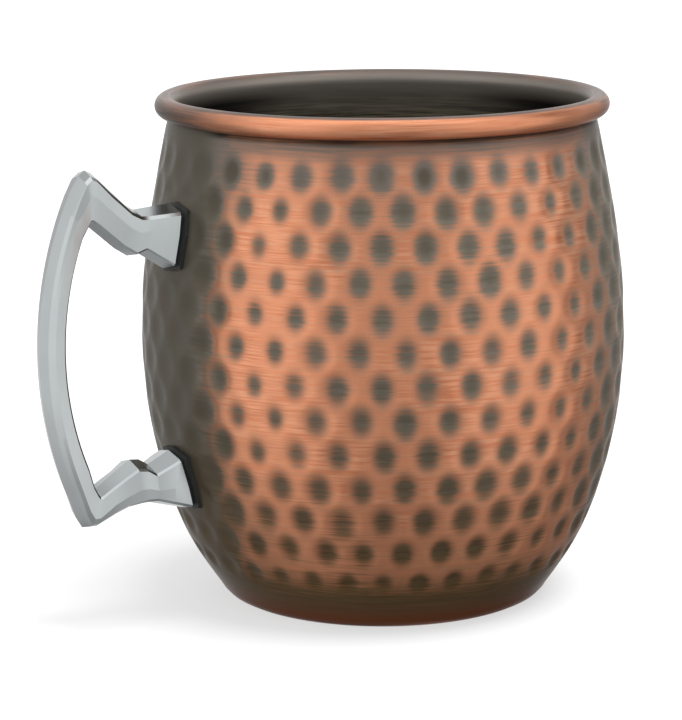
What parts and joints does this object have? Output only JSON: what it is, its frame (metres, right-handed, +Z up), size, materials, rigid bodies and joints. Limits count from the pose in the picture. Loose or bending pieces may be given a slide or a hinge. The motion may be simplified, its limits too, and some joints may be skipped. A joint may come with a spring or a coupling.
{
  "type": "barrel drinking mug",
  "caption": "Barrel-shaped hammered metal drinking mug with a rolled rim and a faceted cast handle screwed on through the wall.",
  "frame": {"origin": "centre of the flat resting ring under the base, on the surface that the mug stands on", "axes": "+Z up along the mug's own axis; the handle lies in the XZ plane and points along -X; +Y completes a right-handed frame"},
  "size_m": [0.1224, 0.096, 0.1],
  "materials": {
    "hammered_copper": "antique copper, hammered, brushed round the mug, dark in the dimples",
    "handle_metal": "satin nickel plate over a casting",
    "gasket_rubber": "matt black",
    "screw_steel": "plain stainless steel",
    "washer_silicone": "soft dark silicone"
  },
  "bodies": {
    "root": {"mug_body": "hammered_copper", "handle": "handle_metal", "upper_gasket": "gasket_rubber", "lower_gasket": "gasket_rubber", "upper_screw": "screw_steel", "lower_screw": "screw_steel", "upper_sealing_washer": "washer_silicone", "lower_sealing_washer": "washer_silicone"}
  },
  "joints": []
}
